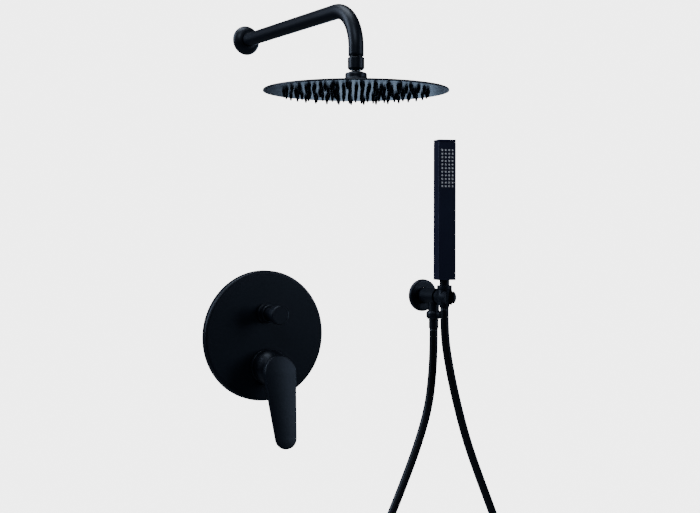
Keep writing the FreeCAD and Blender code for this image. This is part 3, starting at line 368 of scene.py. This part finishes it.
def hose_line():
    """Points along the route's smooth NURBS line, in metres, from the outlet to the cone."""
    curve = bpy.data.curves.new("hose_route", "CURVE")
    curve.dimensions = "3D"
    curve.resolution_u = 14
    spline = curve.splines.new("NURBS")
    spline.points.add(len(HOSE_ROUTE) - 1)
    flat = np.column_stack([np.array(HOSE_ROUTE) * MM, np.ones(len(HOSE_ROUTE))])
    spline.points.foreach_set("co", flat.ravel())
    spline.order_u = 3
    spline.use_endpoint_u = True
    holder = bpy.data.objects.new("hose_route", curve)
    scene.collection.objects.link(holder)
    bpy.context.view_layer.update()
    mesh = bpy.data.meshes.new_from_object(holder)
    line = np.empty(len(mesh.vertices) * 3)
    mesh.vertices.foreach_get("co", line)
    bpy.data.objects.remove(holder)
    bpy.data.meshes.remove(mesh)
    return line.reshape(-1, 3)


HOSE_RADIUS = 7.0
hose_path = hose_line()
hose = make_piece("shower_hose_skin", [along(hose_path / MM, (0, 1, 0), HOSE_RADIUS, 36)],
                  "black_hose", None, "shower_hose")
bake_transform(hose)

# ---------------------------------------------------------------- rain head

ARM_X, ARM_Z, REACH, BEND = -27.0, 453.5, 332.0, 54.0
ARM_START, ARM_END = 2.0, 65.0
TUBE_OUTER, TUBE_INNER, TUBE_SIDES = 10.0, 8.0, 72


def below(drop):
    """The point on the rain head's own axis, that far under the arm's centre line."""
    return (ARM_X, -REACH, ARM_Z - drop)


def make_arm():
    """Centre line: straight out from the wall, a quarter circle, straight down. The section is
    carried out along the outside of the wall of the tube and back along its inside."""
    t = np.linspace(0, math.pi / 2, 40)
    out = REACH - BEND
    straight = np.linspace(ARM_START, out, 12)[:-1]
    bend_out, bend_down = out + BEND * np.sin(t), BEND * (1 - np.cos(t))
    drop = np.linspace(BEND, ARM_END, 4)[1:]
    y = -np.concatenate([straight, bend_out, np.full(len(drop), REACH)])
    z = ARM_Z - np.concatenate([np.zeros(len(straight)), bend_down, drop])
    line = np.stack([np.full(len(y), ARM_X), y, z], -1)
    outer, _ = along(line, (1, 0, 0), TUBE_OUTER, TUBE_SIDES, False)
    inner, _ = along(line[::-1], (1, 0, 0), TUBE_INNER, TUBE_SIDES, False)
    inner = inner[:, (-np.arange(TUBE_SIDES) + TUBE_SIDES // 2) % TUBE_SIDES]
    points = np.concatenate([outer, inner])
    return points, grid_faces(len(points), TUBE_SIDES, True, True)


make_piece("arm_pipe", [make_arm()], "black_metal", "wall_group", "arm_tube")
make_piece("arm_rosette", [lathe(
    [(20, 0), (22, 0), (22, 1.4, 0.8), (20.4, 5.4, 5), (16.2, 9.4, 5), (12, 10.8, 2),
     (10.4, 11, 0.2), (10.4, 8), (13, 7.4, 3), (17, 4.6, 3), (20, 2)],
    (ARM_X, 0, ARM_Z), "out", radius=0.6, segments=112)],
    "black_metal", "wall_group", "arm_flange")
make_piece("swivel_nut_skin", [lathe(
    [(9.0, 0), (9.9, 0), (10.75, 0.9), (10.75, 14.0), (8.6, 16.4), (6.4, 16.4), (5.9, 15.2),
     (6.9, 12), (6.9, 10), (9.0, 10)],
    below(66.8), "down", radius=0.35)],
    "black_metal", "wall_group", "swivel_nut")
make_piece("head_collar_skin", [lathe(
    [(5.45, 0), (7.6, 0, 1), (11.0, 1.5, 1.5), (13.1, 1.9, 1.5), (14.2, 3.4, 1.2), (14.2, 7.8, 1),
     (14.8, 8.8, 1.2), (15.6, 10.2, 0.8), (15.6, 14.8), (10, 14.8), (10, 19.7), (7.5, 19.7),
     (7.5, 11.2), (5.45, 11.2)],
    below(84.8), "down", radius=0.3)],
    "black_metal", "rain_head", "head_collar")
make_piece("head_dish", [lathe(
    [(119.0, 0), (120, 0), (120, 1.6, 0.6), (119.2, 2.4, 0.6), (70, 6.4, 20), (20, 9.9, 6),
     (10.1, 9.9), (10.1, 8.9), (20, 8.9, 6), (70, 5.4, 20), (119.0, 1.45)],
    below(110.5), "up", radius=0.3, segments=160)],
    "black_metal", "rain_head", "head_top_plate")

NOZZLE = [(0.0, 1.2), (2.4, 1.2), (2.32, 0.2), (2.4, -0.6), (2.38, -2.2), (2.15, -3.8),
          (1.75, -5.4), (1.4, -6.9), (1.2, -8.0), (1.02, -8.7), (0.6, -8.85), (0.5, -8.4),
          (0.0, -8.3)]
JETS_IN_RINGS = (6, 12, 18, 24, 30, 34)
RING_PITCH = 15.5
MAT_DROP, MAT_RADIUS = 109.5, 101


def repeated(faces, copies, points_each):
    """The same faces for each of several equal runs of points."""
    return (faces[None] + (np.arange(copies) * points_each)[:, None, None]).reshape(-1, 4)


def make_nozzles():
    """Soft jets on even rings: one teardrop profile spun about Z and set down at every jet."""
    section = np.array(NOZZLE)
    segments = 14
    angle = np.linspace(0, 2 * math.pi, segments, endpoint=False)[None, :]
    r, h = section[:, :1], section[:, 1:]
    one = np.stack([r * np.cos(angle), r * np.sin(angle), h + 0 * angle], -1)
    counts = np.array(JETS_IN_RINGS)
    ring = np.repeat(np.arange(1, len(counts) + 1), counts)
    place = np.concatenate([np.arange(count) for count in counts])
    bearing = 2 * math.pi * (place + 0.5 * (ring % 2)) / counts[ring - 1]
    away = RING_PITCH * ring
    centre = np.stack([away * np.cos(bearing), away * np.sin(bearing), 0 * bearing], -1)
    points = centre[:, None] + one.reshape(1, -1, 3)
    faces = repeated(grid_faces(len(section), segments), len(centre), points.shape[1])
    return stand(points.reshape(-1, 3), below(MAT_DROP)), faces


make_piece("head_jets", [make_nozzles(), lathe(
    [(0, 0.02), (MAT_RADIUS, 0.02), (MAT_RADIUS, 1.2), (0, 1.2)], below(MAT_DROP), closed=False)],
           "black_silicone", "rain_head", "nozzle_mat")

# ---------------------------------------------------------------- mixer

HUB_Z, KNOB_Z = -47, 35
PIVOT_OUT = 26
LEVER_TILT, LEVER_LEAN = 10, 23


def off_wall(z, out):
    """The point on the mixer's middle at that height, that far out into the room."""
    return (0, -out, z)


ring_profile = [(24.6, 9), (26.5, 9), (26.5, 12.9, 0.9), (25.6, 14, 0.7), (24.9, 14, 0.4),
                (24.5, 13.4, 0.3)]
arc = np.radians(np.linspace(0, 55, 12))
dome = [(24.5 * math.cos(a), 23 + 24.5 * math.sin(a), 0.5) for a in arc]
make_piece("hub_sleeve_skin", [lathe(
    [(21.1, 0), (24.5, 0), (24.5, 8.9), *ring_profile, *dome, (13.9, 40.2), (21.5, 24), (21.1, 21)],
    off_wall(HUB_Z, 3), "out", radius=0.3, segments=128)],
    "black_metal", "wall_group", "hub_sleeve")
make_piece("knob_sleeve_skin", [lathe(
    [(10.5, 0), (13.0, 0), (13.0, 7), (15.5, 7), (15.5, 11.2), (14.7, 12, 0.7),
     (13.7, 12, 0.5), (13.5, 13), (13.5, 21.6), (12.6, 22.8, 0.9), (10.8, 22.8), (10.8, 8),
     (10.5, 8)],
    off_wall(KNOB_Z, 5), "out", radius=0.35)],
    "black_metal", "wall_group", "diverter_sleeve")
make_piece("diverter_knob_skin", [lathe(
    [(0, 41), (3.05, 41), (3.05, 6), (8.5, 6), (8.5, 0), (10.5, 0), (10.5, 32.4, 0.8),
     (11.6, 33.2, 0.6), (14.4, 34.6, 0.6), (14.4, 43.6), (13.2, 45, 0.5), (12.6, 45), (0, 45)],
    off_wall(KNOB_Z, 18), "out", radius=0.3, closed=False)],
    "black_metal", "diverter", "diverter_knob")


def make_paddle(tilt, lean):
    """A tapered capsule outline with soft edges and a gently crowned front. Its rim runs round a
    wide circle and a narrow one joined by their tangents; rings shrink towards the line between
    the two centres: centre + share x radius x direction, at the height of the edge profile."""
    wide, narrow, reach, start = 26.0, 17.5, 97.5, -2.0
    edge, off_pivot = 2.6, 27.5
    front = edge * 0.7
    slope = math.asin((wide - narrow) / reach)
    upper = np.linspace(-slope, math.pi + slope, 60)
    lower = np.linspace(math.pi + slope, 2 * math.pi - slope, 40)
    side = np.linspace(0, 1, 26)[1:-1]
    straight = np.ones(len(side))
    bearing = np.concatenate([upper, straight * (math.pi + slope), lower, straight * -slope])
    travel = np.concatenate([0 * upper, side, np.ones(len(lower)), side[::-1]])
    centre = np.stack([0 * travel, start - reach * travel], -1)
    radius = wide + (narrow - wide) * travel
    direction = np.stack([np.cos(bearing), np.sin(bearing)], -1)
    turn = np.linspace(0, math.pi / 2, 7)
    inner = np.array([0.0, 0.15, 0.3, 0.45, 0.6, 0.75, 0.88])
    rows = []
    thick = 11.0 - 3.5 * travel
    crown = 1.2 + 0.6 * (1 - travel)
    for share in inner:
        rows.append((share * (radius - edge), 0 * radius))
    for angle in turn:
        rows.append((radius - edge + edge * np.sin(angle), edge * (1 - np.cos(angle)) + 0 * radius))
    for angle in turn:
        rows.append((radius - front + front * np.cos(angle), thick - front + front * np.sin(angle)))
    for share in inner[::-1]:
        rows.append((share * (radius - front), thick + crown * (1 - share ** 2)))
    spread = np.stack([r for r, _ in rows])
    height = np.stack([h for _, h in rows])
    flat = centre[None] + spread[..., None] * direction[None]
    local = np.concatenate([flat, height[..., None]], -1)
    lean = math.radians(lean)
    x, y, z = local[..., 0], local[..., 1], local[..., 2]
    cosine, sine = math.cos(lean), math.sin(lean)
    leaned = np.stack([x, y * cosine + z * sine, z * cosine - y * sine + off_pivot], -1)
    placed = stand(leaned, off_wall(HUB_Z, PIVOT_OUT), "out", tilt)
    return placed, grid_faces(len(rows), len(bearing))


def cup_side(radius, first, last):
    """Profile points on a sphere about the lever's pivot, between two heights in degrees."""
    return [(radius * math.cos(a), radius * math.sin(a), 0.6)
            for a in np.radians(np.linspace(first, last, 22))]


make_piece("lever_skin", [
    make_paddle(LEVER_TILT, LEVER_LEAN),
    lathe(cup_side(28, 6.2, 90) + cup_side(25, 90, 6.9), off_wall(HUB_Z, PIVOT_OUT), "out",
          LEVER_TILT, 0.6, False, 112)],
    "black_metal", "lever", "lever_handle")

# ---------------------------------------------------------------- outlet, holder and unions

OUTLET_X, OUTLET_Y, HAND_Y = 298, -35, -66
OUTLET = (OUTLET_X, 0, 53.5)
make_piece("outlet_rosette", [lathe(
    [(25, 0), (27, 0), (27, 4.6, 2.2), (24.6, 7, 2.2), (13.3, 7), (13.3, 4.8), (25, 4.8)],
    OUTLET, "out", radius=0.4)],
    "black_metal", "wall_group", "outlet_flange")
make_piece("union_nut_skin", [lathe(
    [(10.53, 0), (10.8, 0), (12.4, 2.6, 1.6), (12.4, 9.4, 2), (10.2, 12.8), (7.0, 12.8),
     (7.0, 11.6), (10.53, 11.6)],
    (OUTLET_X, OUTLET_Y, 28.8), "down", radius=0.3)],
    "black_metal", "wall_group", "union_nut")
make_piece("outlet_ferrule_skin", [lathe(
    [(5.25, 0), (7.2, 0), (8, 0.8), (8, 15.2, 0.6), (7.4, 16), (5.25, 16)],
    (OUTLET_X, OUTLET_Y, 16), "down", radius=0.4)],
    "black_metal", "wall_group", "outlet_ferrule")
make_piece("cone_nut_skin", [lathe(
    [(10.53, 0), (11.4, 0), (12.2, 0.8), (12.2, 5.7, 0.7), (11.8, 6.4), (10.3, 6.4), (7.9, 36.2),
     (6.7, 36.2), (6.7, 20), (5.3, 20), (5.3, 10), (8.4, 10), (8.4, 5.6), (10.53, 5.6)],
    (OUTLET_X, HAND_Y, 72.7), "down", radius=0.25)],
    "black_metal", "handset", "cone_nut")


def softened_copy(name, node, width, body, slot):
    """The node's own mesh, welded, with its sharp edges rounded by a narrow bevel."""
    mesh = frame["nodes"][node].data.copy()
    welded = bmesh.new()
    welded.from_mesh(mesh)
    bmesh.ops.remove_doubles(welded, verts=welded.verts, dist=1e-6)
    bmesh.ops.dissolve_limit(
        welded, angle_limit=math.radians(0.6), verts=welded.verts, edges=welded.edges)
    welded.to_mesh(mesh)
    welded.free()
    mesh.polygons.foreach_set("use_smooth", np.ones(len(mesh.polygons), bool))
    piece = show(name, mesh, slot)
    bevel = piece.modifiers.new("soft_edges", "BEVEL")
    bevel.width = width * MM
    bevel.segments = 3
    bevel.limit_method = "ANGLE"
    bevel.angle_limit = math.radians(32)
    bevel.harden_normals = False
    even_shading(piece, 50)
    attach(piece, body)
    stand_for(node)


softened_copy("handset_holder_skin", "handset_holder", 0.5, "wall_group", "black_metal")
softened_copy("outlet_elbow_skin", "outlet_elbow", 0.4, "wall_group", "black_metal")
softened_copy("cover_plate_skin", "cover_plate", 0.4, "wall_group", "black_metal")

spring = show("check_spring_coil", frame["nodes"]["check_valve_spring"].data.copy(), "steel")
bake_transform(spring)
stand_for("check_valve_spring")

# ---------------------------------------------------------------- hand shower

HAND = (OUTLET_X, HAND_Y, 81.7)
YAW = math.radians(-15)
BAR_HEIGHT, HALF_WIDTH, HALF_DEPTH, BAR_CORNER = 228, 15, 13, 1.6
JET_ROWS, JET_COLUMNS = 11, 4


def yawed(points):
    """Points about the hand shower's axis, turned about Z to the way its face looks."""
    c, s = math.cos(YAW), math.sin(YAW)
    x, y, z = points[..., 0], points[..., 1], points[..., 2]
    return np.stack([x * c - y * s, x * s + y * c, z], -1) + np.array(HAND, float)


def rounded_bar(profile, steps=8):
    """A bar with a rounded rectangular section. Each profile pair is (inset, height): the section
    keeps its corner centres and shrinks its corner radius and sides by the inset."""
    quarter = np.linspace(0, math.pi / 2, steps)
    angle = (quarter[None, :] + np.arange(4)[:, None] * math.pi / 2).ravel()
    sign_x = np.repeat([1, -1, -1, 1], steps)
    sign_y = np.repeat([1, 1, -1, -1], steps)
    inset = np.array([p[0] for p in profile], float)[:, None]
    height = np.array([p[1] for p in profile], float)[:, None]
    soft = np.maximum(BAR_CORNER - inset, 0.0)
    core_x = np.maximum(HALF_WIDTH - inset - soft, 0.0)
    core_y = np.maximum(HALF_DEPTH - inset - soft, 0.0)
    x = sign_x * core_x + soft * np.cos(angle)
    y = sign_y * core_y + soft * np.sin(angle)
    points = np.stack([x, y, height + 0 * x], -1)
    return yawed(points), grid_faces(len(profile), len(angle))


def end_round(low, high, radius, steps=5):
    """Inset and height pairs for a bar with both ends rounded and closed on the axis."""
    t = np.linspace(0, math.pi / 2, steps)
    bottom = [(radius * (1 - math.sin(a)), low + radius * (1 - math.cos(a))) for a in t]
    top = [(radius * (1 - math.sin(a)), high - radius * (1 - math.cos(a))) for a in t[::-1]]
    return [(20, low), (8, low), *bottom, *top, (8, high), (20, high)]


make_piece("handset_bar", [rounded_bar(end_round(0, 223.8, 0.5))],
           "black_plastic", "handset", "handset_shell")
make_piece("handset_cap", [rounded_bar(end_round(224.1, BAR_HEIGHT, 0.9))],
           "black_plastic", "handset", "handset_end_cap")


def make_jets():
    """Square soft nubs in rows: a pyramid frustum with a dimple, repeated."""
    across, down, top_margin = 5.9, 5.84, 17.4
    column = np.tile(np.arange(JET_COLUMNS), JET_ROWS)
    row = np.repeat(np.arange(JET_ROWS), JET_COLUMNS)
    sideways = across * (column - (JET_COLUMNS - 1) / 2)
    centre = np.stack([sideways, 0.0 * row - HALF_DEPTH, BAR_HEIGHT - top_margin - down * row], -1)
    corner = np.array([(-1, -1), (1, -1), (1, 1), (-1, 1)], float)
    rings = [(1.45, 1.2), (1.45, 0.0), (1.32, -0.35), (1.08, -0.55), (0.5, -0.55), (0.38, -0.1),
             (0.0, -0.1)]
    half = np.array([r[0] for r in rings])[:, None]
    depth = np.array([r[1] for r in rings])[:, None]
    one = np.stack([half * corner[:, 0], depth + 0 * corner[:, 0], half * corner[:, 1]], -1)
    points = centre[:, None] + one.reshape(1, -1, 3)
    sides = repeated(grid_faces(len(rings), 4), len(centre), points.shape[1])
    base = repeated(np.array([[0, 1, 2, 3]]), len(centre), points.shape[1])
    return yawed(points.reshape(-1, 3)), np.concatenate([sides, base])


make_piece("handset_jets", [make_jets()], "pale_silicone", "handset", "handset_nozzle_mat")

# ---------------------------------------------------------------- studio

BACKDROP = 4.5


def make_floor_material():
    """A pale floor that the eye sees as seamless white: it glows for camera rays alone."""
    material = bpy.data.materials.new("pale_floor")
    material.use_nodes = True
    tree = material.node_tree
    shader = tree.nodes["Principled BSDF"]
    shader.inputs["Base Color"].default_value = (0.30, 0.31, 0.33, 1)
    shader.inputs["Roughness"].default_value = 0.9
    shader.inputs["Emission Color"].default_value = (1, 1, 1, 1)
    rays = tree.nodes.new("ShaderNodeLightPath")
    glow = math_node(tree, "MULTIPLY", rays.outputs["Is Camera Ray"], BACKDROP)
    tree.links.new(glow, shader.inputs["Emission Strength"])
    return material


def make_floor():
    mesh = bpy.data.meshes.new("studio_floor")
    edge, level = 14.0, -1.35
    corners = [(x * edge, y * edge, level) for x, y in ((-1, -1), (1, -1), (1, 1), (-1, 1))]
    mesh.from_pydata(corners, [], [(0, 1, 2, 3)])
    floor = bpy.data.objects.new("studio_floor", mesh)
    mesh.materials.append(make_floor_material())
    scene.collection.objects.link(floor)


def make_light(name, at, aim, size, power, colour=(1, 1, 1)):
    data = bpy.data.lights.new(name, "AREA")
    data.shape = "RECTANGLE"
    data.size, data.size_y = size
    data.energy = power
    data.color = colour
    light = bpy.data.objects.new(name, data)
    light.location = at
    light.visible_camera = False
    light.rotation_euler = (Vector(aim) - Vector(at)).to_track_quat("-Z", "Y").to_euler()
    scene.collection.objects.link(light)


def make_world():
    """White for the eye, much dimmer as a light, so that black metal stays black."""
    world = bpy.data.worlds.new("studio_air")
    world.use_nodes = True
    tree = world.node_tree
    background = tree.nodes["Background"]
    rays = tree.nodes.new("ShaderNodeLightPath")
    amount = tree.nodes.new("ShaderNodeMapRange")
    tree.links.new(rays.outputs["Is Camera Ray"], amount.inputs["Value"])
    amount.inputs["To Min"].default_value = 0.015
    amount.inputs["To Max"].default_value = BACKDROP
    background.inputs["Color"].default_value = (1, 1, 1, 1)
    tree.links.new(amount.outputs[0], background.inputs["Strength"])
    scene.world = world


make_floor()
make_world()
make_light("key_soft", (-1.6, -2.2, 2.2), (0.0, -0.1, 0.2), (1.6, 1.2), 18, (0.86, 0.92, 1.0))
make_light("fill_soft", (2.2, -2.4, 0.9), (0.1, -0.1, 0.1), (1.4, 1.8), 16, (0.76, 0.85, 1.0))
make_light("top_soft", (-0.3, 0.2, 2.4), (-0.05, -0.2, 0.3), (1.2, 1.6), 24, (0.88, 0.94, 1.0))
make_light("back_panel", (3.0, 2.4, -0.15), (0.0, -0.33, 0.34), (3.2, 1.2), 20, (0.52, 0.72, 1.0))
make_light("left_rim", (-2.0, 1.0, 1.3), (-0.03, -0.1, 0.3), (0.8, 2.0), 34, (0.78, 0.87, 1.0))
